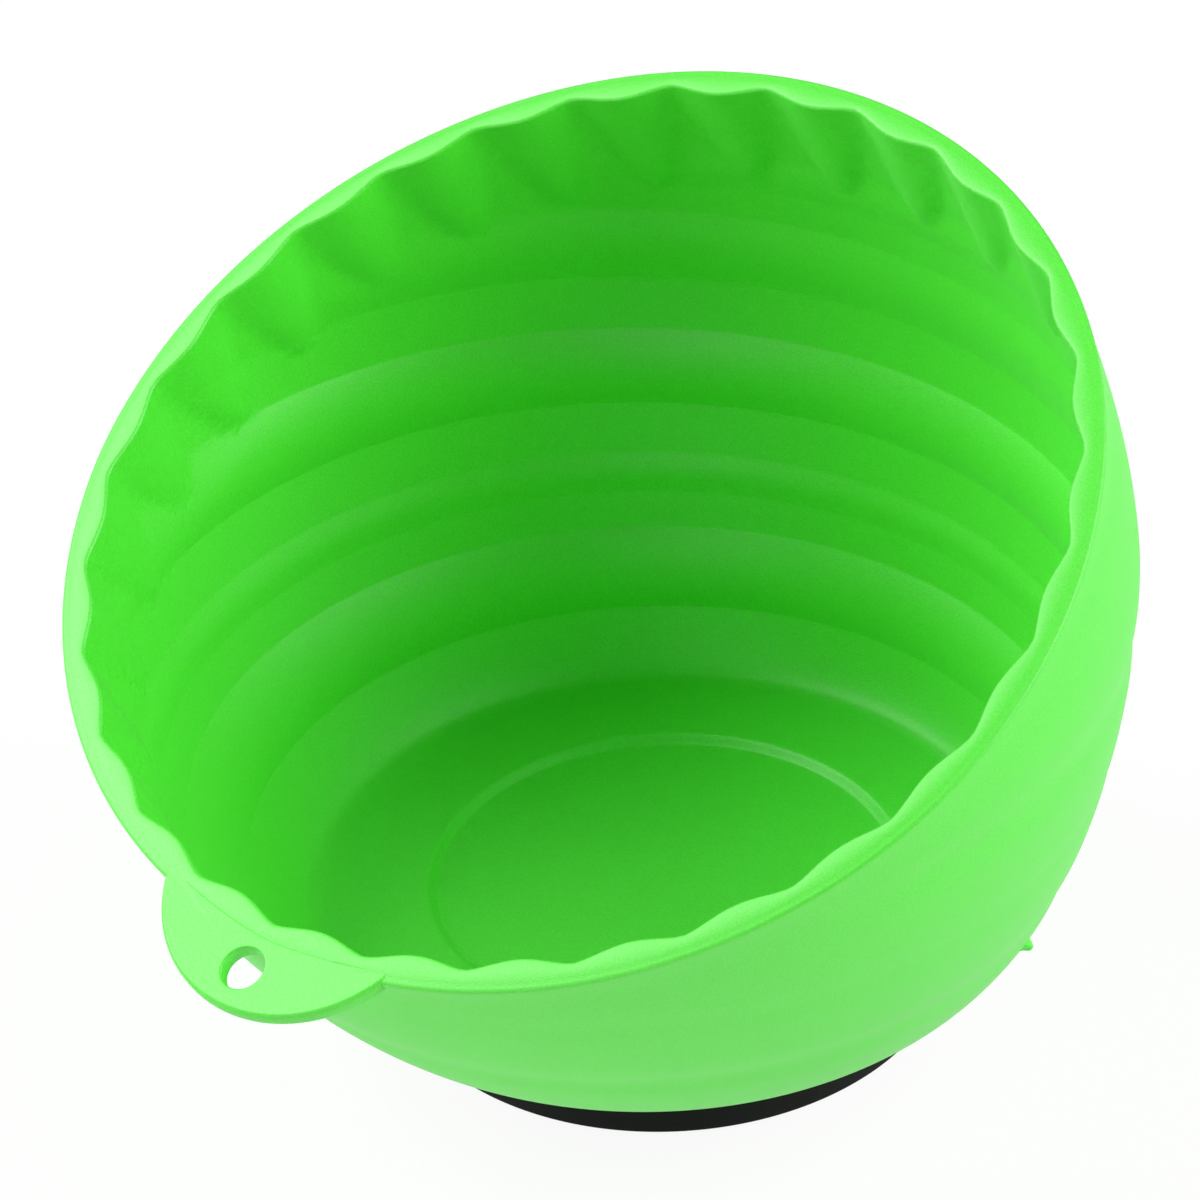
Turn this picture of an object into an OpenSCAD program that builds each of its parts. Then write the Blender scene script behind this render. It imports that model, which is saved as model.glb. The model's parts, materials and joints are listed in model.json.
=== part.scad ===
// Magnetic parts bowl: a leaning moulded bowl with an oblique petalled rim and a hang tab,
// standing on a round magnetic base. Millimetres, +Z up. The origin is on the table, under
// the middle of the base, and the low side of the rim with its tab points towards -Y.

/* [Bowl] */
// Greatest outer diameter of the bowl
belly_d = 152; // [144:0.2:166]
// Height of the greatest diameter above the table
belly_height = 79; // [70:1:88]
// Outer diameter that the wall draws in to at the neck height
neck_d = 133.6; // [126:0.2:142]
// Height above the table at which the wall has the neck diameter
neck_height = 121; // [110:1:140]
// Outer diameter of the flat underside
foot_d = 94; // [92:1:100]
// Diameter of the flat floor inside
floor_d = 101; // [96:0.2:104]
// Thickness of the wall
wall = 2.6; // [2:0.1:4]
// Thickness of the floor under its recess
floor_t = 3; // [2:0.1:5]
// Lean of the bowl's axis towards the tab where it leaves the underside, in degrees
lean_angle = 15.9; // [8:0.1:20]
// Height above the table at which the curving axis stands upright
upright_height = 126; // [115:1:150]

/* [Floor recess] */
// Diameter of the recess in the floor
recess_d = 70; // [50:1:88]
// Depth of the recess
recess_depth = 1.2; // [0.6:0.1:2.5]
// Width of the sloping edge round the recess
recess_edge = 1.6; // [0.8:0.1:3]

/* [Rim] */
// Tilt of the rim plane, low at the tab, in degrees
rim_tilt = 26.7; // [18:0.1:32]
// Height at which the leaning axis crosses the rim plane
rim_height = 88; // [82:0.1:94]
// How far the lip of the rim flares out from the wall
rim_flare = 0.6; // [0.3:0.1:1.5]
// Length of the flare down the wall
flare_length = 6; // [4:0.1:10]
// Size of the eased outer edge of the rim
rim_ease = 1.2; // [0.6:0.1:1.5]
// Number of raised petals round the inside of the rim
petals = 30; // [20:1:40]
// How far a petal stands proud of the wall at the rim
petal_rise = 1.4; // [0.6:0.1:1.8]
// Length of a petal, square to the rim
petal_length = 22; // [14:0.5:24]
// Drop from the rim over which the beads run out
bead_runout = 20; // [12:0.5:26]

/* [Inside beads] */
// How far a broad bead stands proud of the wall
bead_rise = 1.2; // [0.6:0.1:2]
// Height of a broad bead, from edge to edge
bead_w = 12.4; // [9:0.1:13]
// Height of the lowest broad bead's middle above the table
low_bead_height = 31; // [29:0.1:33]
// Height of the middle broad bead's middle above the table
mid_bead_height = 63.8; // [61:0.1:66]
// Height of the top broad bead's middle above the table
top_bead_height = 85.2; // [82:0.1:90]
// How far the small bead stands proud of the wall
small_bead_rise = 0.6; // [0.4:0.1:1.2]
// Height of the small bead, from edge to edge
small_bead_w = 5.8; // [4:0.1:8]
// Height of the small bead's middle above the table
small_bead_height = 46.2; // [44:0.1:49]
// How far the bead under the back of the rim stands proud of the wall
neck_bead_rise = 0.5; // [0.3:0.1:1.2]
// Height of the bead under the back of the rim, from edge to edge
neck_bead_w = 7; // [5:0.1:9]
// Height of the neck bead's middle above the table
neck_bead_height = 101; // [99:0.1:104]

/* [Hang tab] */
// How far the tab reaches past the rim
tab_reach = 9.9; // [8:0.1:14]
// Radius of the tab's outline
tab_r = 21.5; // [18:0.5:26]
// Thickness of the tab
tab_t = 2.4; // [1.6:0.1:4]
// Drop from the rim face to the face of the tab
tab_step = 0.2; // [0.1:0.05:0.6]
// How far the root of the tab runs into the rim
tab_root = 1.4; // [1.2:0.1:1.8]
// Diameter of the hang hole
hang_hole_d = 6.2; // [4:0.1:7]
// Distance from the tip of the tab to the middle of the hang hole
hang_hole_inset = 6; // [5:0.1:7]

/* [Magnet] */
// Diameter of the ring magnet
magnet_d = 60; // [50:0.5:66]
// Diameter of the hole through the magnet
magnet_bore_d = 24; // [18:0.5:32]
// Thickness of the magnet
magnet_t = 6; // [4:0.1:8]
// Thickness of the steel plate over the magnet
plate_t = 1.5; // [1:0.1:3]

/* [Base] */
// Thickness of the side wall of the base
base_wall = 2.8; // [2:0.1:4]
// Thickness of the base under the magnet
base_skin = 1.9; // [1.5:0.1:3]
// Radius of the lower outer edge of the base
base_round = 0.5; // [0.3:0.1:1.2]
// Wall of the spigot through the magnet
spigot_wall = 2; // [1.2:0.1:3]
// Diameter of the rubber pad under the base
pad_d = 56; // [44:0.5:57]
// Thickness of the pad
pad_t = 1.6; // [1.2:0.1:2.4]
// How far the pad stands out of its seat
pad_proud = 0.2; // [0.1:0.1:0.6]

/* [Screws] */
// Number of screws that hold the base on
screws = 3; // [3:1:5]
// Diameter of the screw shank
screw_d = 2.9; // [2.2:0.1:3.5]
// Length of the screw under its head
screw_length = 7; // [5.5:0.1:8]
// Diameter of the screw head
head_d = 5.4; // [4.6:0.1:5.8]
// Thickness of the screw head
head_t = 1.4; // [1:0.1:1.6]
// Diameter of the drive hole in the head
drive_d = 2.2; // [1.6:0.1:2.8]
// Depth of the drive hole
drive_depth = 0.9; // [0.5:0.1:1.1]
// Diameter of the bosses under the floor
boss_d = 7.4; // [6.4:0.1:9]

/* [Hidden] */
$fn = 72;

// Clearances, the least wall between the pad's seat and a screw's, and the overrun of every cut
fit_gap = 0.35;
thread_gap = 0.1;
head_gap = 0.3;
boss_gap = 0.2;
seat_wall = 1.2;
cut_over = 1;

// Heights of the stack under the bowl
housing_z = pad_proud;
pad_seat_z = pad_t;
magnet_z = pad_seat_z + base_skin;
plate_z = magnet_z + magnet_t;
bowl_z = plate_z + plate_t;
recess_z = bowl_z + floor_t;
floor_z = recess_z + recess_depth;

// Radii of the base: the screws stand clear of the magnet inside and of the pad underneath
pad_clear_r = pad_d / 2 + fit_gap + seat_wall + head_gap + head_d / 2;
screw_circle_r = max(magnet_d / 2 + fit_gap + boss_d / 2, pad_clear_r);
base_inner_r = screw_circle_r + boss_d / 2 + fit_gap;
base_r = base_inner_r + base_wall;

// Screw heads sit in counterbores this deep from the underside of the base
head_seat_z = housing_z + head_t + head_gap;

// Exponents of the swelling lower wall, outside and inside: 2 would be an ellipse
outer_power = 1.55;
inner_power = 1.4;

// Columns of the bowl's surface, four to a petal, and the rows of its outside and its petals
columns = 4 * petals;
outer_rows = 8;
petal_rows = 9;
search_steps = 24;

// Exponents of a petal: how its outline closes to a toe, and how full its rounding is
toe_power = 1.7;
round_power = 0.72;

// Beads as middle height, height and rise
BEADS = [
    [low_bead_height, bead_w, bead_rise],
    [small_bead_height, small_bead_w, small_bead_rise],
    [mid_bead_height, bead_w, bead_rise],
    [top_bead_height, bead_w, bead_rise],
    [neck_bead_height, neck_bead_w, neck_bead_rise]
];
// Rows across one bead, and rows of the curve between the floor and the lowest bead
bead_row_shares = [-0.5, -0.24, 0.24, 0.5];
corner_row_shares = [0, 0.12, 0.45];
// Gap from the last level row to the first that slopes with the rim, as a share of the petals
slope_gap_share = 0.15;

// Rows of the inside that run level round the bowl, from the floor up
low_bead_edge = low_bead_height - bead_w / 2;
LEVELS = concat(
    [for (s = corner_row_shares) floor_z + s * (low_bead_edge - floor_z)],
    [for (b = BEADS) for (s = bead_row_shares) b[0] + s * b[1]]
);

// Middle of the bowl at a height: the axis leans towards -Y and curves upright as it rises
function axis_y(z) =
    (bowl_z - z) * tan(lean_angle) * (1 - (z - bowl_z) / (upright_height - bowl_z) / 2);

// Radius of a wall that swells from its foot to the belly and draws in to the neck
function swell(z, foot_r, foot_z, belly_r, neck_r, power) =
    z < belly_height
    ? foot_r + (belly_r - foot_r)
        * pow(1 - pow((belly_height - z) / (belly_height - foot_z), power), 1 / power)
    : belly_r - (belly_r - neck_r) * pow((z - belly_height) / (neck_height - belly_height), 2);

function outer_r(z) = swell(z, foot_d / 2, bowl_z, belly_d / 2, neck_d / 2, outer_power);
function lip_r(z, d) = outer_r(z) + rim_flare * pow(limit01(1 - d / flare_length), 2);
function inner_r(z) =
    swell(z, floor_d / 2, floor_z, belly_d / 2 - wall, neck_d / 2 - wall, inner_power);

// Height of the rim plane over a place along Y
function rim_plane(y) = rim_height + (y - axis_y(rim_height)) * tan(rim_tilt);

// Drop from the rim plane to a point of the outside or the plain inside, square to the plane
function drop(a, z, r) = (rim_plane(axis_y(z) + r * sin(a)) - z) * cos(rim_tilt);
function outer_drop(a, z) = drop(a, z, outer_r(z));
function inner_drop(a, z) = drop(a, z, inner_r(z));

// Height at which a column reaches a given drop, by halving the span that holds it
function outer_z(a, d, lo = bowl_z, hi = 2 * neck_height, n = search_steps) =
    n == 0 ? (lo + hi) / 2
    : outer_drop(a, (lo + hi) / 2) > d ? outer_z(a, d, (lo + hi) / 2, hi, n - 1)
    : outer_z(a, d, lo, (lo + hi) / 2, n - 1);
function inner_z(a, d, lo = floor_z, hi = 2 * neck_height, n = search_steps) =
    n == 0 ? (lo + hi) / 2
    : inner_drop(a, (lo + hi) / 2) > d ? inner_z(a, d, (lo + hi) / 2, hi, n - 1)
    : inner_z(a, d, lo, (lo + hi) / 2, n - 1);

// A point of the bowl's surface at a column, a height and a radius
function at(a, z, r) = [r * cos(a), axis_y(z) + r * sin(a), z];

// How far the beads and the petals stand proud of the plain inside at a place. The petals run
// square to the rim plane, so each goes by its direction from the rim's middle in that plane
function limit01(x) = min(1, max(0, x));
function bead(z) = max([for (b = BEADS) b[2] * max(0, 1 - pow(2 * (z - b[0]) / b[1], 2))]);
function rim_y(p) =
    (p[1] - axis_y(rim_height)) * cos(rim_tilt) + (p[2] - rim_height) * sin(rim_tilt);
function rim_direction(p) = atan2(rim_y(p) - rim_middle, p[0]);
function petal(p, d) =
    petal_rise * pow(max(0, (1 + cos(petals * rim_direction(p))) / 2
        - pow(limit01(d / petal_length), toe_power)), round_power);
function inside_r(a, z, d) =
    inner_r(z) - max(bead(z) * limit01(d / bead_runout), petal(at(a, z, inner_r(z)), d));

// A point that is moved straight up or down into the rim plane
function in_rim(p) = [p[0], p[1], rim_plane(p[1])];

// One column of points, from the underside up the outside, over the rim and down the inside
function outer_column(a) =
    let (top = outer_z(a, flare_length))
    [
        for (i = [0 : outer_rows])
            let (z = bowl_z + (top - bowl_z) * pow(i / outer_rows, 2)) at(a, z, outer_r(z))
    ];
function rim_column(a) =
    let (middle = outer_z(a, flare_length / 2), top = outer_z(a, rim_ease))
    [
        at(a, middle, lip_r(middle, flare_length / 2)),
        at(a, top, lip_r(top, rim_ease)),
        in_rim(at(a, top, lip_r(top, 0) - rim_ease))
    ];
function inner_column(a) =
    let (
        start = inner_z(a, petal_length),
        level = [for (z = LEVELS) if (z < start - slope_gap_share * petal_length) z],
        steps = len(LEVELS) + petal_rows - len(level),
        sloping = [for (i = [1 : steps]) petal_length * (1 - i / steps)],
        low = [for (z = level) at(a, z, inside_r(a, z, inner_drop(a, z)))],
        high = [
            for (d = sloping)
                let (z = inner_z(a, d), p = at(a, z, inside_r(a, z, d))) d > 0 ? p : in_rim(p)
        ],
        up = concat(low, high)
    )
    [for (i = [len(up) - 1 : -1 : 0]) up[i]];
function recess_point(a, z, r) = [r * cos(a), r * sin(a), z];
function recess_column(a) = [
    recess_point(a, floor_z, recess_d / 2),
    recess_point(a, recess_z, recess_d / 2 - recess_edge)
];
function column(a) = concat(outer_column(a), rim_column(a), inner_column(a), recess_column(a));

// The bowl's moulding: columns of points joined into one closed skin, without tab and bosses
module bowl_skin() {
    skin = [for (i = [0 : columns - 1]) column(i * 360 / columns)];
    rows = len(skin[0]);
    bottom = columns * rows;
    points = concat(
        [for (c = skin) for (p = c) p],
        [at(0, bowl_z, 0), recess_point(0, recess_z, 0)]
    );
    faces = [
        for (i = [0 : columns - 1])
            let (here = i * rows, next = ((i + 1) % columns) * rows)
            for (f = concat(
                [[bottom, here, next], [bottom + 1, next + rows - 1, here + rows - 1]],
                [for (j = [0 : rows - 2]) [here + j, here + j + 1, next + j]],
                [for (j = [0 : rows - 2]) [here + j + 1, next + j + 1, next + j]]
            )) f
    ];
    polyhedron(points, faces);
}

// Rim outline in its own plane: low and high reach from the leaning axis, and its circle
low_point = at(-90, outer_z(-90, 0), lip_r(outer_z(-90, 0), 0));
high_point = at(90, outer_z(90, 0), lip_r(outer_z(90, 0), 0));
low_reach = (axis_y(rim_height) - low_point[1]) / cos(rim_tilt);
high_reach = (high_point[1] - axis_y(rim_height)) / cos(rim_tilt);
rim_r = (low_reach + high_reach) / 2;
rim_middle = (high_reach - low_reach) / 2;
tab_tip = low_reach + tab_reach;

// Moves a shape into the rim plane, with its -Y down the slope to the tab
module on_rim() {
    translate([0, axis_y(rim_height), rim_height])
        rotate([rim_tilt, 0, 0])
            children();
}

// Puts a shape at each screw of the base
module at_screws() {
    for (i = [0 : screws - 1])
        rotate([0, 0, 90 + i * 360 / screws])
            translate([screw_circle_r, 0, 0])
                children();
}

module hang_tab() {
    on_rim()
        difference() {
            translate([0, tab_r - tab_tip, -tab_step - tab_t])
                cylinder(r = tab_r, h = tab_t);
            translate([0, rim_middle, -tab_step - tab_t - cut_over])
                cylinder(r = rim_r - tab_root, h = tab_t + 2 * cut_over, $fn = 144);
        }
}

module bowl() {
    color("limegreen")
        difference() {
            union() {
                bowl_skin();
                hang_tab();
                at_screws()
                    translate([0, 0, magnet_z + boss_gap])
                        cylinder(d = boss_d, h = bowl_z + floor_t / 2 - magnet_z - boss_gap);
            }
            on_rim()
                translate([0, hang_hole_inset - tab_tip, -tab_step - tab_t - cut_over])
                    cylinder(d = hang_hole_d, h = tab_t + 2 * cut_over);
            at_screws()
                translate([0, 0, head_seat_z])
                    cylinder(d = screw_d + 2 * thread_gap, h = screw_length + head_gap);
        }
}

// Black cup that holds the magnet, with a spigot through the magnet and seats for the screws
module base_housing() {
    color("black")
        difference() {
            union() {
                rotate_extrude($fn = 144)
                    polygon([
                        [0, housing_z],
                        [base_r - base_round, housing_z],
                        for (a = [-75 : 15 : 0])
                            [base_r - base_round + base_round * cos(a),
                             housing_z + base_round + base_round * sin(a)],
                        [base_r, bowl_z],
                        [base_inner_r, bowl_z],
                        [base_inner_r, magnet_z],
                        [0, magnet_z]
                    ]);
                cylinder(d = magnet_bore_d - 2 * fit_gap, h = bowl_z - fit_gap);
            }
            translate([0, 0, magnet_z])
                cylinder(d = magnet_bore_d - 2 * fit_gap - 2 * spigot_wall, h = bowl_z);
            translate([0, 0, pad_seat_z - pad_t - cut_over])
                cylinder(d = pad_d + 2 * fit_gap, h = pad_t + cut_over);
            at_screws() {
                cylinder(d = screw_d + 2 * fit_gap, h = bowl_z);
                cylinder(d = head_d + 2 * head_gap, h = head_seat_z);
            }
        }
}

module ring_magnet() {
    color("dimgray")
        translate([0, 0, magnet_z])
            difference() {
                cylinder(d = magnet_d, h = magnet_t);
                translate([0, 0, -cut_over])
                    cylinder(d = magnet_bore_d, h = magnet_t + 2 * cut_over);
            }
}

module pole_plate() {
    color("silver")
        translate([0, 0, plate_z])
            difference() {
                cylinder(d = magnet_d, h = plate_t);
                translate([0, 0, -cut_over])
                    cylinder(d = magnet_bore_d, h = plate_t + 2 * cut_over);
            }
}

module base_pad() {
    color("darkslategray")
        cylinder(d = pad_d, h = pad_t);
}

// Self-tapping screws, heads down in their counterbores
module base_screws() {
    color("gray")
        at_screws()
            difference() {
                union() {
                    translate([0, 0, head_seat_z - head_t])
                        cylinder(d = head_d, h = head_t);
                    translate([0, 0, head_seat_z - head_t / 2])
                        cylinder(d = screw_d, h = screw_length + head_t / 2);
                }
                translate([0, 0, head_seat_z - head_t - cut_over])
                    cylinder(d = drive_d, h = drive_depth + cut_over, $fn = 6);
            }
}

bowl();
base_housing();
ring_magnet();
pole_plate();
base_pad();
base_screws();
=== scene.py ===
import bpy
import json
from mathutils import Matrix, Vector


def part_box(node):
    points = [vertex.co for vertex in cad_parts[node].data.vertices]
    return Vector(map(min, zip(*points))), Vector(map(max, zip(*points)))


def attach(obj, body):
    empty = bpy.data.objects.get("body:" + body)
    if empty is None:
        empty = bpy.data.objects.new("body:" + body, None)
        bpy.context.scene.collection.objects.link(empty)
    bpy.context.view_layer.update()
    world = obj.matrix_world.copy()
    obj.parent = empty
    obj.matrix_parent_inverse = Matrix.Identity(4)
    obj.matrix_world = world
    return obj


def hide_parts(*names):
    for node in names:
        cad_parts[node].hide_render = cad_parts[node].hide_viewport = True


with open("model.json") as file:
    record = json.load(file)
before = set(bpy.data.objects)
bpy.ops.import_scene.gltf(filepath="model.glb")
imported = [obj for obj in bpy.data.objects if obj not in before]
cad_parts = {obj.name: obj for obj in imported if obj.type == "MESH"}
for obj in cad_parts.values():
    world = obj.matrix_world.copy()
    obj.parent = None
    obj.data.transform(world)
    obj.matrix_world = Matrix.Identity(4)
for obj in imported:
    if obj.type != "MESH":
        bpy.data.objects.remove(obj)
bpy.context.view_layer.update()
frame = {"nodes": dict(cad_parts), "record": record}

import json
import math

import bmesh
import bpy
import numpy as np
from mathutils import Matrix, Vector

# The bowl is one injection moulding in waxy lime green plastic: a leaning, swelling wall with
# rolled beads inside, a floor with a shallow recess, and an oblique rim with raised petals.
# It stands on the base, and three screws from below run into bosses under its floor.
# Sizes are in millimetres, with +Z up from the table and -Y towards the hang tab
MM = 0.001
FOOT_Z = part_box("base_housing")[1].z / MM
FOOT_R, BELLY_R, NECK_R = 47.0, 76.0, 66.8
BELLY_Z, NECK_Z = 79.0, 121.0
WALL = 2.6
FLOOR_R, FLOOR_Z = 50.5, 15.2
LEAN, UPRIGHT_Z = math.tan(math.radians(15.9)), 126.0
OUTER_POWER, INNER_POWER = 1.55, 1.4
RIM_TILT, RIM_Z = math.radians(26.7), 88.0
RIM_FLARE, FLARE_LENGTH = 0.6, 6.0
PETALS, PETAL_RISE, PETAL_LENGTH = 30, 1.4, 20.2
TOE_POWER, ROUND_POWER, TOE_ROUND_POWER, PETAL_SWELL = 2.4, 0.72, 0.5, 0.2
# Columns of the bowl's mesh, steps of the search for a height, and the radius at which rows of
# points end and a fan closes a flat face
COLUMNS, HALVINGS, CENTRE_R = 12 * PETALS, 40, 5.0


def limit01(x):
    return np.clip(x, 0.0, 1.0)


def axis_y(z):
    """Middle of the bowl at a height: the axis leans to the tab and curves upright."""
    rise = z - FOOT_Z
    return -rise * LEAN * (1 - rise / (UPRIGHT_Z - FOOT_Z) / 2)


def swell(z, foot_r, foot_z, belly_r, neck_r, power):
    """Radius of a wall that swells from its foot to the belly and draws in to the neck."""
    low = limit01((BELLY_Z - z) / (BELLY_Z - foot_z))
    high = np.maximum(z - BELLY_Z, 0) / (NECK_Z - BELLY_Z)
    lower = foot_r + (belly_r - foot_r) * (1 - low ** power) ** (1 / power)
    return np.where(z < BELLY_Z, lower, belly_r - (belly_r - neck_r) * high ** 2)


def outer_r(z):
    return swell(z, FOOT_R, FOOT_Z, BELLY_R, NECK_R, OUTER_POWER)


def inner_r(z):
    return swell(z, FLOOR_R, FLOOR_Z, BELLY_R - WALL, NECK_R - WALL, INNER_POWER)


def rim_plane(y):
    return RIM_Z + (y - axis_y(RIM_Z)) * math.tan(RIM_TILT)


def drop(a, z, radius):
    """Distance below the rim plane, square to it, of a wall point."""
    return (rim_plane(axis_y(z) + radius(z) * np.sin(a)) - z) * math.cos(RIM_TILT)


def height_at(a, d, radius):
    """Height at which a column of the wall lies a given drop below the rim plane."""
    low = np.full(np.broadcast(a, d).shape, FOOT_Z)
    high = np.full_like(low, 2 * NECK_Z)
    for _ in range(HALVINGS):
        middle = (low + high) / 2
        deep = drop(a, middle, radius) > d
        low = np.where(deep, middle, low)
        high = np.where(deep, high, middle)
    return (low + high) / 2


# Reach of the rim down and up its slope from the leaning axis, and its circle
low_z, high_z = height_at(np.array([-0.5, 0.5]) * math.pi, 0.0, outer_r)
low_reach = (axis_y(low_z) - outer_r(low_z) - RIM_FLARE - axis_y(RIM_Z)) / math.cos(RIM_TILT)
high_reach = (axis_y(high_z) + outer_r(high_z) + RIM_FLARE - axis_y(RIM_Z)) / math.cos(RIM_TILT)
rim_middle, rim_r = (high_reach + low_reach) / 2, (high_reach - low_reach) / 2

# Beads inside the wall as middle height, height, rise and softness of the edges, the drops from
# the rim between which they run out, and the shallow outer grooves that the same rolls leave
# outside, as middle height, half width and depth
BEADS = ((31.0, 12.4, 1.2, 1.0), (46.2, 6.6, 0.45, 1.6), (63.8, 12.4, 1.2, 1.0),
         (85.2, 12.8, 0.75, 1.3), (101.0, 7.6, 0.4, 1.6))
RUNOUT_START, RUNOUT_END = 9.0, 23.0
GROOVES = ((30.5, 3.0, 0.45), (48.0, 2.5, 0.15), (67.0, 3.5, 0.45))


def bead(z):
    return np.max([rise * np.maximum(0, 1 - (2 * (z - mid) / w) ** 2) ** soft
                   for mid, w, rise, soft in BEADS], axis=0)


def groove(z):
    return np.sum([deep * np.exp(-((z - mid) / half) ** 2) for mid, half, deep in GROOVES], axis=0)


def petal(a, z, d):
    """Rise of the petals: rounded tongues that hang square to the rim from its wide places."""
    along = axis_y(z) + inner_r(z) * np.sin(a) - axis_y(RIM_Z)
    along = along * math.cos(RIM_TILT) + (z - RIM_Z) * math.sin(RIM_TILT) - rim_middle
    wave = (1 + np.cos(PETALS * np.arctan2(along, inner_r(z) * np.cos(a)))) / 2
    share = limit01(d / PETAL_LENGTH)
    power = ROUND_POWER + (TOE_ROUND_POWER - ROUND_POWER) * share
    rise = PETAL_RISE * (1 + PETAL_SWELL * share)
    return rise * np.maximum(0, wave - share ** TOE_POWER) ** power


def wall_points(a, z, r, z_shift=0.0):
    return np.stack(np.broadcast_arrays(r * np.cos(a), axis_y(z) + r * np.sin(a), z + z_shift), -1)


def rim_points(a, z, r, d):
    """Points of a column near the rim, set a drop below the rim plane."""
    y = axis_y(z) + r * np.sin(a)
    return np.stack([r * np.cos(a), y, rim_plane(y) - d / math.cos(RIM_TILT)], -1)


# Outside, from the foot up to the flare, then the sloping lip as inset and drop, which ends in a
# fine step up to the flat of the rim
LIP = np.array(((0.0, 0.9), (0.04, 0.64), (0.13, 0.44), (0.28, 0.3), (0.6, 0.2), (1.3, 0.1),
                (1.5, 0.0)))
WALL_ROWS, WALL_ROW_POWER, FLARE_ROWS, ROUND_ROWS, EDGE_ROUND = 84, 1.7, 6, 6, 0.55
angle = (np.arange(COLUMNS) * 2 * math.pi / COLUMNS)[:, None]
flare_top = height_at(angle, np.array([[FLARE_LENGTH]]), outer_r)
z = FOOT_Z + (flare_top - FOOT_Z) * np.linspace(0, 1, WALL_ROWS)[None] ** WALL_ROW_POWER
fade = limit01(drop(angle, z, outer_r) / FLARE_LENGTH - 1)
outside = wall_points(angle, z, outer_r(z) - groove(z) * fade)

d = np.concatenate([np.linspace(FLARE_LENGTH, LIP[0, 1], FLARE_ROWS)[1:-1], LIP[:, 1]])[None]
inset = np.concatenate([np.zeros(FLARE_ROWS - 2), LIP[:, 0]])[None]
z = height_at(angle, d, outer_r)
lip = rim_points(angle, z, outer_r(z) + RIM_FLARE * limit01(1 - d / FLARE_LENGTH) ** 2 - inset, d)


def inside(a, z, d, ease=0.0):
    """Points of the inside with its beads and petals, eased back at the rim's edge."""
    runout = limit01((d - RUNOUT_START) / (RUNOUT_END - RUNOUT_START))
    proud = np.maximum(bead(z) * runout, petal(a, z, d)) - ease
    level = limit01(1 - d / FLARE_LENGTH) * math.tan(RIM_TILT)
    return wall_points(a, z, inner_r(z) - proud, -proud * np.sin(a) * level)


# Inside, from the rim's inner edge down the petals and beads to the floor. Rows run level up to
# the petals, with close rows at the bead edges, and parallel to the rim above
turn = np.linspace(math.pi / 2, 0, ROUND_ROWS + 1)[None]
d = EDGE_ROUND * (1 - np.sin(turn))
edge = inside(angle, height_at(angle, d, inner_r), d, EDGE_ROUND * (1 - np.cos(turn)))

ROW_GAP, CREASE, RIM_ROWS = 1.1, 0.18, 30
PLAIN_ROWS, PLAIN_POWER, PLAIN_TOP = 72, 1.15, BELLY_Z + 30
bead_edges = np.array([mid + side * w / 2 for mid, w, rise, soft in BEADS for side in (-1, 1)])
plain = FLOOR_Z + (PLAIN_TOP - FLOOR_Z) * np.linspace(0, 1, PLAIN_ROWS) ** PLAIN_POWER
plain = [z for z in plain if np.abs(z - bead_edges).min() > ROW_GAP / 2]
levels = np.sort(np.concatenate([plain, bead_edges, bead_edges - CREASE, bead_edges + CREASE]))
inner_columns = []
for a in angle[:, 0]:
    start = height_at(a, np.array([PETAL_LENGTH]), inner_r)[0]
    level = levels[levels < start - ROW_GAP]
    level_drop = drop(a, level, inner_r)
    steps = len(levels) + RIM_ROWS - len(level)
    sloping = np.linspace(level_drop[-1], EDGE_ROUND, steps + 1)[1:]
    zs = np.concatenate([level, height_at(a, sloping, inner_r)])
    ds = np.concatenate([level_drop, sloping])
    inner_columns.append(inside(a, zs, ds)[::-1][1:])
inner = np.array(inner_columns)

# Floor with its recess, drawn from the wall inwards
RECESS_R, RECESS_EDGE, RECESS_Z, RECESS_LAND, FLOOR_ROWS = 35.0, 1.6, 14.0, 0.5, 9


def ring_points(a, r, z, centre_y):
    return np.stack(np.broadcast_arrays(r * np.cos(a), centre_y + r * np.sin(a), z), -1)


share = np.linspace(0, 1, FLOOR_ROWS)[None, 1:]
floor_r = FLOOR_R + (RECESS_R + RECESS_LAND - FLOOR_R) * share
floor = ring_points(angle, floor_r, FLOOR_Z, axis_y(FLOOR_Z) * (1 - share))
share = np.linspace(0, 1, FLOOR_ROWS)[None]
slope_z = FLOOR_Z + (RECESS_Z - FLOOR_Z) * (3 * share ** 2 - 2 * share ** 3)
slope = ring_points(angle, RECESS_R - RECESS_EDGE * share, slope_z, 0.0)
recess = ring_points(angle, np.array([[32.0, 24.0, 14.0, CENTRE_R]]), RECESS_Z, 0.0)
under = ring_points(angle, np.array([[CENTRE_R, 20.0, 36.0]]), FOOT_Z, 0.0)


def loft(name, grids, closed=False):
    """A mesh from grids of points in columns: ends are capped with fans, or joined if closed."""
    points, faces = [], []
    for grid in grids:
        columns, rows = grid.shape[:2]
        index = len(points) + np.arange(columns * rows).reshape(columns, rows)
        across = np.roll(index, -1, axis=0)
        quads = np.stack([index[:, :-1], across[:, :-1], across[:, 1:], index[:, 1:]], -1)
        faces += quads.reshape(-1, 4).tolist()
        points += (grid.reshape(-1, 3) * MM).tolist()
        if closed:
            faces += np.stack([index[:, -1], across[:, -1], across[:, 0], index[:, 0]], -1).tolist()
            continue
        for end, outline in ((0, (across, index)), (-1, (index, across))):
            middle = np.full(columns, len(points))
            points.append((grid[:, end].mean(0) * MM).tolist())
            faces += np.stack([outline[0][:, end], outline[1][:, end], middle], -1).tolist()
    mesh = bpy.data.meshes.new(name)
    mesh.from_pydata(points, [], faces)
    work = bmesh.new()
    work.from_mesh(mesh)
    bmesh.ops.recalc_face_normals(work, faces=work.faces)
    work.to_mesh(mesh)
    work.free()
    piece = bpy.data.objects.new(name, mesh)
    bpy.context.scene.collection.objects.link(piece)
    return piece


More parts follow.
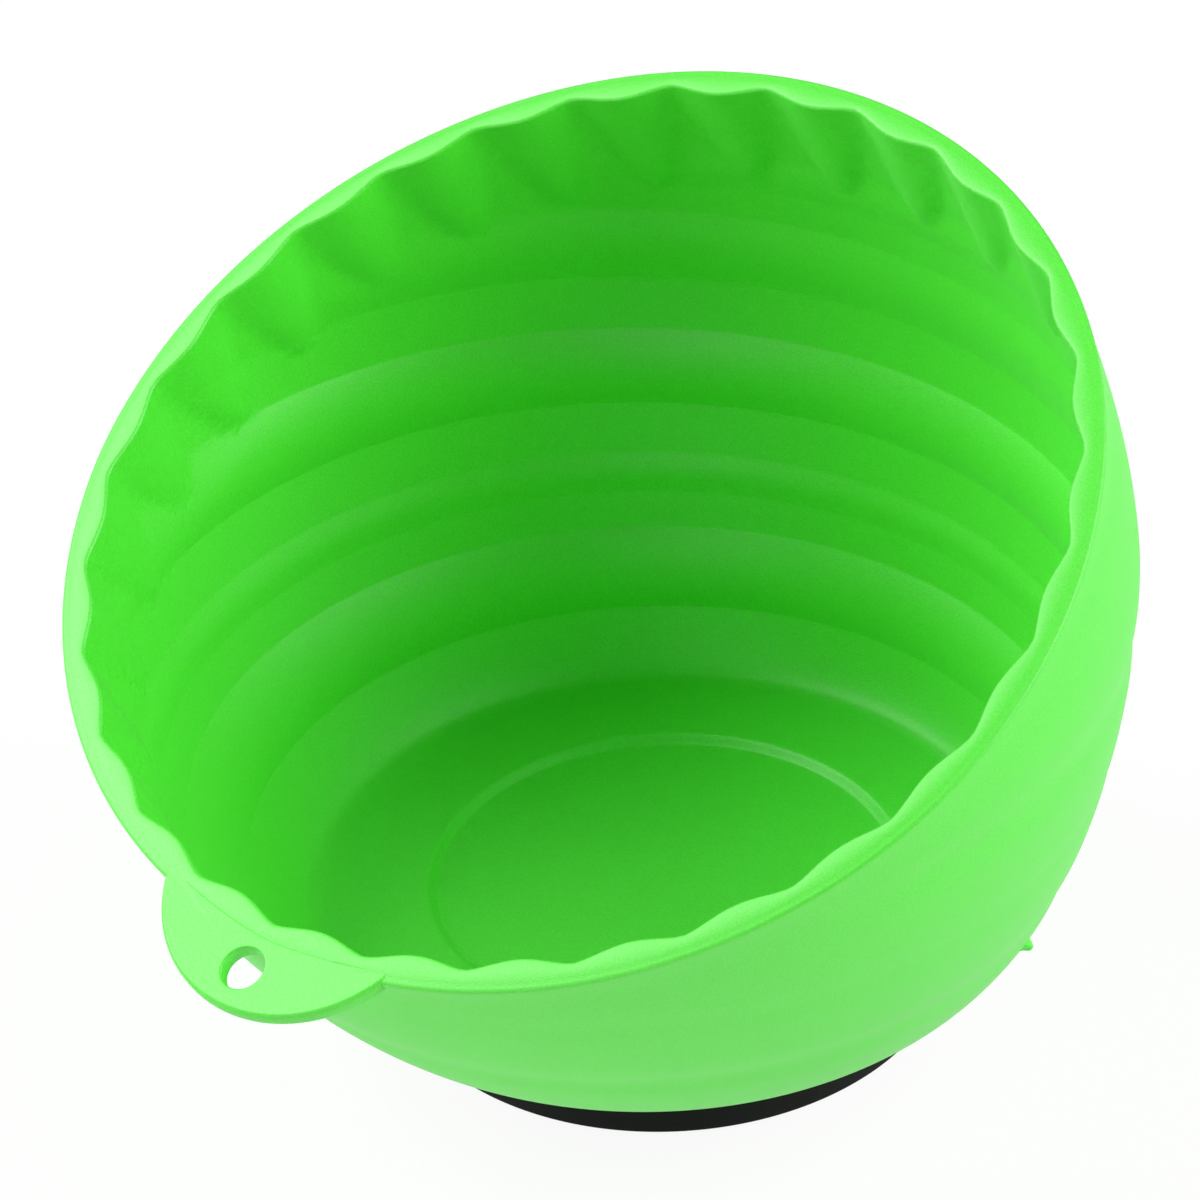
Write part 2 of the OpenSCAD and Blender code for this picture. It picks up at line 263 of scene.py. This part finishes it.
def combine(piece, tool, operation):
    """Joins a tool shape to a piece, or cuts it out, and removes the tool."""
    change = piece.modifiers.new(operation.lower(), "BOOLEAN")
    change.operation = operation
    change.solver = "MANIFOLD"
    change.object = tool
    bpy.context.view_layer.update()
    made = bpy.data.meshes.new_from_object(piece.evaluated_get(bpy.context.evaluated_depsgraph_get()))
    piece.modifiers.clear()
    piece.data = made
    bpy.data.objects.remove(tool)


def smooth(piece, sharp_angle):
    """Smooth shading, with edges past an angle kept sharp."""
    piece.data.shade_smooth()
    piece.data.set_sharp_from_angle(angle=math.radians(sharp_angle))


bowl = loft("bowl_moulding", [np.concatenate(
    [under, outside, lip, edge, inner, floor, slope, recess], axis=1)])

# The hang tab is moulded on at the low side of the rim, in the rim's plane: a thin half moon
# with a rounded edge and a hole for a hook
TAB_R, TAB_T, TAB_STEP, TAB_ROUND, TAB_ROOT = 21.5, 2.4, 0.06, 0.8, 1.6
HOLE_EASE, HOLD = 0.3, 0.25
hole = frame["record"]["mounts"][1]
HOLE_R = hole["dims"]["r_mm"]
HOLE_INSET = 6.0
TAB_ANGLES = 240
rim_frame = Matrix.Translation((0, axis_y(RIM_Z), RIM_Z)) @ Matrix.Rotation(RIM_TILT, 4, "X")
hole_y = (rim_frame.inverted() @ (Vector(hole["pos_m"]) / MM)).y
tab_y = hole_y - HOLE_INSET + TAB_R

around = np.linspace(0, 2 * math.pi, TAB_ANGLES, endpoint=False)
ray = np.stack([np.cos(around), np.sin(around)], -1)


def ray_reach(centre_y, radius, near):
    """Distance from the hole's middle along each ray to a circle, its near or far side."""
    along = ray[:, 1] * (hole_y - centre_y)
    root = along ** 2 - (hole_y - centre_y) ** 2 + radius ** 2
    reach = -along + (-1 if near else 1) * np.sqrt(np.maximum(root, 0))
    return np.where((root > 0) & (reach > 0), reach, np.inf)


reach = np.minimum(ray_reach(tab_y, TAB_R, False), ray_reach(rim_middle, rim_r - TAB_ROOT, True))
quarter = np.linspace(0, math.pi / 2, 7)
section = [(0, HOLE_EASE * (1 - math.cos(t)), -HOLE_EASE * (1 - math.sin(t))) for t in quarter]
section += [(0, HOLE_EASE + HOLD, 0), (1, -TAB_ROUND - HOLD, 0)]
section += [(1, -TAB_ROUND * (1 - math.sin(t)), -TAB_ROUND * (1 - math.cos(t))) for t in quarter]
section += [(s, out, -TAB_T - down) for s, out, down in section[::-1]]
tab_rows = []
for at_edge, out, down in section:
    length = (reach if at_edge else np.full_like(reach, HOLE_R)) + out
    local = np.stack([ray[:, 0] * length, hole_y + ray[:, 1] * length,
                      np.full_like(length, down - TAB_STEP)], -1)
    tab_rows.append([rim_frame @ Vector(p) for p in local])
combine(bowl, loft("hang_tab", [np.array(tab_rows).transpose(1, 0, 2)], closed=True), "UNION")


def turned(profile, places=((0.0, 0.0),), columns=160):
    """Grids of one turned profile, radii and heights, at each of some places."""
    a = (np.arange(columns) * 2 * math.pi / columns)[:, None]
    r, z = np.array(profile).T[:, None]
    return [ring_points(a, r, z, y) + np.array((x, 0, 0)) for x, y in places]


# Bosses under the floor with blind holes for the screws
SCREW_CIRCLE, SCREW_TURNS = 34.05, (90, 210, 330)
BOSS_R, BOSS_Z, BOSS_EASE, BORE_R, BORE_Z, OVERLAP = 3.7, 3.7, 0.3, 1.55, 9.2, 1.0
screw_places = [(SCREW_CIRCLE * math.cos(t), SCREW_CIRCLE * math.sin(t))
                for t in np.radians(SCREW_TURNS)]
boss = [(BORE_R / 2, BORE_Z), (BORE_R, BORE_Z), (BORE_R, BOSS_Z), (BOSS_R - BOSS_EASE, BOSS_Z),
        (BOSS_R, BOSS_Z + BOSS_EASE), (BOSS_R, FOOT_Z + OVERLAP), (BOSS_R / 2, FOOT_Z + OVERLAP)]
combine(bowl, loft("bosses", turned(boss, screw_places, 64)), "UNION")

# A small moulding pip low on the outer wall, pointing out and a little down
PIP_AT, PIP_Z = math.radians(11), 24.5
PIP_TURN = math.radians(112)
pip = turned([(0.2, 1.15), (0.42, 1.05), (0.6, 0.8), (0.95, 0.2), (1.5, -0.3), (1.6, -1.0),
              (0.5, -1.0)], columns=48)
pip_root = Vector(wall_points(PIP_AT, PIP_Z, outer_r(PIP_Z)))
pip_frame = (Matrix.Translation(pip_root) @ Matrix.Rotation(PIP_AT, 4, "Z")
             @ Matrix.Rotation(PIP_TURN, 4, "Y"))
pip_grid = np.array([[pip_frame @ Vector(p) for p in column] for column in pip[0]])
combine(bowl, loft("pip", [pip_grid]), "UNION")

smooth(bowl, 38)
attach(bowl, "root")
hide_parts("bowl")


def new_group(name, inputs, outputs):
    """An empty shader node group with named inputs and outputs."""
    group = bpy.data.node_groups.new(name, "ShaderNodeTree")
    for label, kind, value in inputs:
        socket = group.interface.new_socket(label, in_out="INPUT", socket_type=kind)
        socket.default_value = value
    for label, kind in outputs:
        group.interface.new_socket(label, in_out="OUTPUT", socket_type=kind)
    return group, group.nodes.new("NodeGroupInput"), group.nodes.new("NodeGroupOutput")


# Moulded grain: fine pits of a textured mould over slow drifts, as tone, grain and relief
grain, grain_in, grain_out = new_group(
    "moulded_grain",
    [("Grain Scale", "NodeSocketFloat", 2500.0), ("Drift Scale", "NodeSocketFloat", 18.0)],
    [("Grain", "NodeSocketFloat"), ("Tone", "NodeSocketFloat"), ("Height", "NodeSocketFloat")])
where = grain.nodes.new("ShaderNodeTexCoord")
fine = grain.nodes.new("ShaderNodeTexNoise")
fine.inputs["Detail"].default_value = 2.0
slow = grain.nodes.new("ShaderNodeTexNoise")
slow.inputs["Detail"].default_value = 3.0
specks = grain.nodes.new("ShaderNodeMapRange")
specks.inputs["From Min"].default_value, specks.inputs["From Max"].default_value = 0.36, 0.64
tone = grain.nodes.new("ShaderNodeMix")
tone.inputs["Factor"].default_value = 0.45
height = grain.nodes.new("ShaderNodeMath")
height.operation = "MULTIPLY_ADD"
height.inputs[1].default_value = 0.85
grain.links.new(where.outputs["Object"], fine.inputs["Vector"])
grain.links.new(where.outputs["Object"], slow.inputs["Vector"])
grain.links.new(grain_in.outputs["Grain Scale"], fine.inputs["Scale"])
grain.links.new(grain_in.outputs["Drift Scale"], slow.inputs["Scale"])
grain.links.new(fine.outputs["Fac"], height.inputs[0])
grain.links.new(slow.outputs["Fac"], height.inputs[2])
grain.links.new(fine.outputs["Fac"], grain_out.inputs["Grain"])
grain.links.new(fine.outputs["Fac"], specks.inputs["Value"])
grain.links.new(specks.outputs["Result"], tone.inputs["A"])
grain.links.new(slow.outputs["Fac"], tone.inputs["B"])
grain.links.new(tone.outputs["Result"], grain_out.inputs["Tone"])
grain.links.new(height.outputs["Value"], grain_out.inputs["Height"])


def surface(name, dark, light, roughness, grain_scale, drift_scale, bump, gloss=0.5):
    """A grained material: two tones of one colour, a rough range and fine grain in relief."""
    material = bpy.data.materials.new(name)
    material.use_nodes = True
    nodes, links = material.node_tree.nodes, material.node_tree.links
    shader = nodes["Principled BSDF"]
    shader.inputs["Specular IOR Level"].default_value = gloss
    texture = nodes.new("ShaderNodeGroup")
    texture.node_tree = grain
    texture.inputs["Grain Scale"].default_value = grain_scale
    texture.inputs["Drift Scale"].default_value = drift_scale
    tones = nodes.new("ShaderNodeMix")
    tones.data_type = "RGBA"
    tones.inputs["A"].default_value = (*dark, 1)
    tones.inputs["B"].default_value = (*light, 1)
    rough = nodes.new("ShaderNodeMapRange")
    rough.inputs["To Min"].default_value, rough.inputs["To Max"].default_value = roughness
    relief = nodes.new("ShaderNodeBump")
    relief.inputs["Strength"].default_value = bump
    relief.inputs["Distance"].default_value = 0.05 * MM
    links.new(texture.outputs["Tone"], tones.inputs["Factor"])
    links.new(tones.outputs["Result"], shader.inputs["Base Color"])
    links.new(texture.outputs["Grain"], rough.inputs["Value"])
    links.new(rough.outputs["Result"], shader.inputs["Roughness"])
    links.new(texture.outputs["Height"], relief.inputs["Height"])
    links.new(relief.outputs["Normal"], shader.inputs["Normal"])
    return material


bowl.data.materials.clear()
lime = surface("lime_plastic", (0.042, 0.60, 0.003), (0.062, 0.73, 0.010), (0.44, 0.66),
               3600, 18, 0.8, 1.0)
lime.node_tree.nodes["Principled BSDF"].inputs["Sheen Weight"].default_value = 0.08
lime.node_tree.nodes["Principled BSDF"].inputs["Sheen Roughness"].default_value = 0.6
bowl.data.materials.append(lime)

# The base housing is a black satin moulding: a cup that holds the magnet round a spigot, with a
# seat for the pad underneath. Three screws in counterbores hold it up against the bowl's floor.
BASE_R, CUP_R, SPIGOT_R, SPIGOT_BORE = 40.9, 38.1, 11.65, 9.65
UNDER_Z, SEAT_Z, SEAT_R, CUP_Z = 0.2, 1.6, 28.35, 3.5
BASE_ROUND, EASE, SPIGOT_DROP = 0.5, 0.15, 0.35
SEAT_ROW, RING_ROWS, SIDE_ROWS, CUP_ROW = 20, (31, 37), (4.0, 8.0), 30


def rounding(r, z, radius, start, stop, steps=6):
    """Points of an arc about a middle, as radii and heights."""
    return [(r + radius * math.cos(t), z + radius * math.sin(t))
            for t in np.radians(np.linspace(start, stop, steps))]


cup = [(CENTRE_R, SEAT_Z), (SEAT_ROW, SEAT_Z), (SEAT_R - EASE, SEAT_Z), (SEAT_R, SEAT_Z - EASE)]
cup += rounding(SEAT_R + EASE, UNDER_Z + EASE, EASE, 180, 270)
cup += [(r, UNDER_Z) for r in RING_ROWS]
cup += rounding(BASE_R - BASE_ROUND, UNDER_Z + BASE_ROUND, BASE_ROUND, -90, 0)
cup += [(BASE_R, z) for z in SIDE_ROWS]
cup += rounding(BASE_R - 2 * EASE, FOOT_Z - 2 * EASE, 2 * EASE, 0, 90)
cup += [(CUP_R + EASE, FOOT_Z), (CUP_R, FOOT_Z - EASE), (CUP_R, CUP_Z + EASE), (CUP_R - EASE, CUP_Z)]
spigot_top = FOOT_Z - SPIGOT_DROP
cup += [(CUP_ROW, CUP_Z), (SPIGOT_R + EASE, CUP_Z), (SPIGOT_R, CUP_Z + EASE),
        (SPIGOT_R, spigot_top - EASE), (SPIGOT_R - EASE, spigot_top), (SPIGOT_BORE + EASE, spigot_top),
        (SPIGOT_BORE, spigot_top - EASE), (SPIGOT_BORE, CUP_Z + EASE), (SPIGOT_BORE - EASE, CUP_Z),
        (CENTRE_R, CUP_Z)]
base = loft("base_cup", turned(cup, columns=240))
HEAD_SEAT_Z, SINK_R, SINK_EASE, SINK_START, SHANK_HOLE_R = 1.9, 3.0, 0.2, -0.5, 1.8
sink = [(SINK_R / 2, SINK_START), (SINK_R + SINK_EASE, SINK_START), (SINK_R + SINK_EASE, UNDER_Z),
        (SINK_R, UNDER_Z + SINK_EASE), (SINK_R, HEAD_SEAT_Z), (SHANK_HOLE_R, HEAD_SEAT_Z),
        (SHANK_HOLE_R, CUP_Z + OVERLAP), (SHANK_HOLE_R / 2, CUP_Z + OVERLAP)]
combine(base, loft("sinks", turned(sink, screw_places, 64)), "DIFFERENCE")
smooth(base, 38)
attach(base, "root")
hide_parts("base_housing")
base.data.materials.clear()
base.data.materials.append(surface(
    "black_plastic", (0.003, 0.004, 0.003), (0.006, 0.008, 0.006), (0.5, 0.7), 1800, 40, 0.3, 0.12))

# The ring magnet is dull grey pressed ferrite, ground on its faces. It lies in the cup round the
# spigot, out of sight.
magnet = frame["nodes"]["ring_magnet"]
magnet.data.materials.clear()
magnet.data.materials.append(surface(
    "ferrite", (0.03, 0.03, 0.034), (0.06, 0.06, 0.065), (0.5, 0.8), 900, 60, 0.5, 0.4))

# The pole plate is a zinc plated steel washer on top of the magnet, held down by the floor of the
# bowl.
plate = frame["nodes"]["pole_plate"]
plate.data.materials.clear()
zinc = surface("zinc_steel", (0.5, 0.51, 0.53), (0.62, 0.62, 0.61), (0.28, 0.46), 1200, 45, 0.15)
zinc.node_tree.nodes["Principled BSDF"].inputs["Metallic"].default_value = 1.0
plate.data.materials.append(zinc)

# The pad is a black rubber disc glued into its seat under the base. It stands a little proud, so
# that the bowl doesn't slip or scratch.
PAD_R, PAD_ROUND, PAD_ROW = 28.0, 0.3, 18
disc = [(CENTRE_R, 0), (PAD_ROW, 0)] + rounding(PAD_R - PAD_ROUND, PAD_ROUND, PAD_ROUND, -90, 0)
disc += rounding(PAD_R - EASE, SEAT_Z - EASE, EASE, 0, 90) + [(PAD_ROW, SEAT_Z), (CENTRE_R, SEAT_Z)]
pad = loft("pad_disc", turned(disc, columns=240))
smooth(pad, 38)
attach(pad, "root")
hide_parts("base_pad")
pad.data.materials.append(surface(
    "black_rubber", (0.012, 0.012, 0.012), (0.024, 0.024, 0.023), (0.72, 0.95), 1400, 70, 0.6, 0.3))

# Three zinc plated self-tapping screws, heads down in the counterbores: a rounded pan head with
# a hexagon socket, and a threaded shank that ends in a point
HEAD_R, HEAD_Z, HEAD_ROUND, HEAD_EASE, HEAD_ROW = 2.7, 0.5, 0.7, 0.1, 1.6
SOCKET_R, SOCKET_DEPTH = 1.1, 0.9
SHANK_R, SHANK_TOP, TIP, TIP_SHARE = 1.2, 8.9, 1.2, 0.25
THREAD, PITCH, RUN_IN = 0.25, 1.1, 0.8
SCREW_COLUMNS, THREAD_ROWS = 72, 66
turn = (np.arange(SCREW_COLUMNS) * 2 * math.pi / SCREW_COLUMNS)[:, None]
hexagon = SOCKET_R * math.cos(math.pi / 6) / np.cos(turn % (math.pi / 3) - math.pi / 6)
# The socket's outline, from its cone up to its mouth, as shares of the hexagon and depths
socket = np.array([(0.35, SOCKET_DEPTH + 0.15), (0.96, SOCKET_DEPTH), (1, SOCKET_DEPTH - 0.06),
                   (1, 0.08), (1.06, 0)]).T
head = [(HEAD_ROW, HEAD_Z)]
head += rounding(HEAD_R - HEAD_ROUND, HEAD_Z + HEAD_ROUND, HEAD_ROUND, -80, 0)
head += [(HEAD_R, HEAD_SEAT_Z - HEAD_EASE), (HEAD_R - HEAD_EASE, HEAD_SEAT_Z), (HEAD_ROW, HEAD_SEAT_Z)]
head = np.array(head).T
z = np.linspace(HEAD_SEAT_Z + HEAD_EASE, SHANK_TOP - HEAD_EASE / 2, THREAD_ROWS)[None]
ridge = np.abs(((z - HEAD_SEAT_Z) / PITCH - turn / (2 * math.pi)) % 1 * 2 - 1)
taper = limit01((SHANK_TOP - z) / TIP)
worn = limit01((z - HEAD_SEAT_Z) / RUN_IN) * taper
shank_r = SHANK_R * (TIP_SHARE + (1 - TIP_SHARE) * taper) + THREAD * ridge * worn
screw = np.concatenate([ring_points(turn, hexagon * socket[0], HEAD_Z + socket[1], 0.0),
                        ring_points(turn, head[0][None], head[1][None], 0.0),
                        ring_points(turn, shank_r, z, 0.0)], axis=1)
screws = loft("screw_set", [screw + np.array((x, y, 0)) for x, y in screw_places])
smooth(screws, 38)
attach(screws, "root")
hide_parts("base_screws")
screws.data.materials.append(zinc)

# Studio: a pale floor that fades to white, soft lamps to both sides and above, and the camera
# at the height and distance of the photograph, tilted a little to one side
FLOOR_HALF, FLOOR_DROP, AIM_Z = 4.0, 0.2 * MM, 60 * MM
corners = [(x * FLOOR_HALF, y * FLOOR_HALF, 0) for x, y in ((-1, -1), (1, -1), (1, 1), (-1, 1))]
floor_mesh = bpy.data.meshes.new("studio_floor")
floor_mesh.from_pydata(corners, [], [(0, 1, 2, 3)])
studio_floor = bpy.data.objects.new("studio_floor", floor_mesh)
studio_floor.location.z = -FLOOR_DROP
bpy.context.scene.collection.objects.link(studio_floor)
white = bpy.data.materials.new("studio_white")
white.use_nodes = True
nodes, links = white.node_tree.nodes, white.node_tree.links
nodes["Principled BSDF"].inputs["Base Color"].default_value = (0.9, 0.9, 0.9, 1)
nodes["Principled BSDF"].inputs["Roughness"].default_value = 0.9
seen = nodes.new("ShaderNodeLightPath")
glow = nodes.new("ShaderNodeEmission")
either = nodes.new("ShaderNodeMath")
either.operation = "MAXIMUM"
weak = nodes.new("ShaderNodeMath")
weak.operation = "MULTIPLY"
weak.inputs[1].default_value = 0.92
mix = nodes.new("ShaderNodeMixShader")
links.new(seen.outputs["Is Camera Ray"], either.inputs[0])
links.new(seen.outputs["Is Glossy Ray"], either.inputs[1])
links.new(either.outputs["Value"], weak.inputs[0])
links.new(weak.outputs["Value"], mix.inputs["Fac"])
links.new(nodes["Principled BSDF"].outputs["BSDF"], mix.inputs[1])
links.new(glow.outputs["Emission"], mix.inputs[2])
links.new(mix.outputs["Shader"], nodes["Material Output"].inputs["Surface"])
floor_mesh.materials.append(white)

world = bpy.data.worlds.new("studio_world")
bpy.context.scene.world = world
world.use_nodes = True
world.node_tree.nodes["Background"].inputs["Color"].default_value = (1, 1, 1, 1)
world.node_tree.nodes["Background"].inputs["Strength"].default_value = 0.1


def softbox(name, azimuth, elevation, distance, size, power, sheen_only=False):
    """A square soft lamp that looks at the bowl, and may light only the sheen of surfaces."""
    a, e = math.radians(azimuth), math.radians(elevation)
    back = Vector((math.sin(a) * math.cos(e), -math.cos(a) * math.cos(e), math.sin(e)))
    lamp = bpy.data.lights.new(name, "AREA")
    lamp.size = size
    lamp.energy = power
    stand = bpy.data.objects.new(name, lamp)
    stand.location = Vector((0, 0, AIM_Z)) + back * distance
    stand.rotation_euler = (-back).to_track_quat("-Z", "Y").to_euler()
    stand.visible_diffuse = not sheen_only
    bpy.context.scene.collection.objects.link(stand)


softbox("key_lamp", 118, 37, 1.2, 0.8, 16.5)
softbox("fill_lamp", -60, 37, 1.2, 0.8, 17.0)
softbox("front_lamp", 16, 13, 1.4, 0.6, 3.4)
softbox("rim_lamp", -81, 56, 1.2, 0.6, 3.2, sheen_only=True)

AZIMUTH, ELEVATION, ROLL = math.radians(41.8), math.radians(34.23), math.radians(-3.28)
IMAGE_WIDTH, FOCAL = 1200, 5506
TARGET = Vector((0, 0, RECESS_Z * MM))
ACROSS, DOWN, DISTANCE = 9.69 * MM, 40.71 * MM, 801.96 * MM
back = Vector((math.sin(AZIMUTH) * math.cos(ELEVATION), -math.cos(AZIMUTH) * math.cos(ELEVATION),
               math.sin(ELEVATION)))
level = Vector((math.cos(AZIMUTH), math.sin(AZIMUTH), 0))
upright = back.cross(level)
right = math.cos(ROLL) * level + math.sin(ROLL) * upright
up = math.cos(ROLL) * upright - math.sin(ROLL) * level
place = TARGET - ACROSS * right + DOWN * up + DISTANCE * back
camera = bpy.data.objects.new("camera", bpy.data.cameras.new("camera"))
camera.data.sensor_width = 36.0
camera.data.lens = camera.data.sensor_width * FOCAL / IMAGE_WIDTH
camera.matrix_world = Matrix.Translation(place) @ Matrix((right, up, back)).transposed().to_4x4()
bpy.context.scene.collection.objects.link(camera)
bpy.context.scene.camera = camera
bpy.context.scene.view_settings.view_transform = "Standard"
